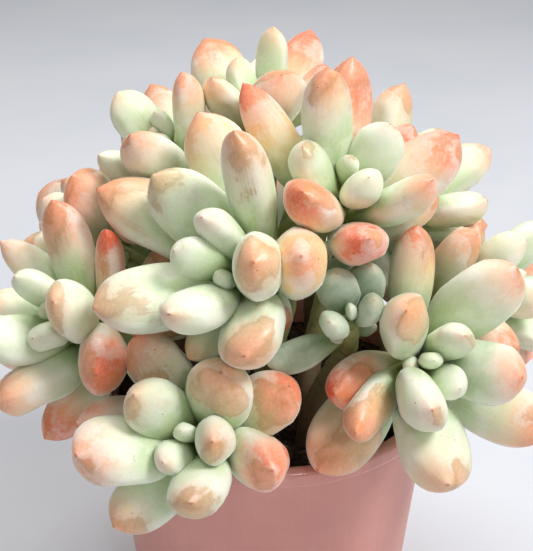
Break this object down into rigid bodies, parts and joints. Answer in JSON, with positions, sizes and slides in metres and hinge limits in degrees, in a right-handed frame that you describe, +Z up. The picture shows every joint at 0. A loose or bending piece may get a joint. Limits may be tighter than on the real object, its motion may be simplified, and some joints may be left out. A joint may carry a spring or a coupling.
{
  "type": "potted pachyphytum",
  "caption": "Potted succulent: clustered heads of plump, blunt leaves in mint and peach on short stems, standing in soil in a round tapered plastic pot with a rolled rim band.",
  "frame": {"origin": "middle of the pot's flat base", "axes": "+Z up along the pot's axis, -Y towards the plant's front as pictured, +X to the viewer's right"},
  "size_m": [0.1748, 0.179, 0.2047],
  "materials": {
    "pot": "satin coral pink, glossier on the rim band",
    "soil": "dark, rough potting mix",
    "leaf": "smooth with a white bloom, mint at the foot to peach at the tip"
  },
  "bodies": {
    "root": {"pot": "pot", "soil": "soil", "head_front": "leaf", "head_front_right": "leaf", "head_centre": "leaf", "head_upper_right": "leaf", "head_left": "leaf", "head_small": "leaf", "head_upper_left": "leaf", "head_top": "leaf", "head_right_shoulder": "leaf", "head_right": "leaf", "head_left_shoulder": "leaf", "head_back_left": "leaf", "head_back": "leaf", "head_back_right": "leaf", "head_rear_right": "leaf", "head_rear_left": "leaf"}
  },
  "joints": []
}
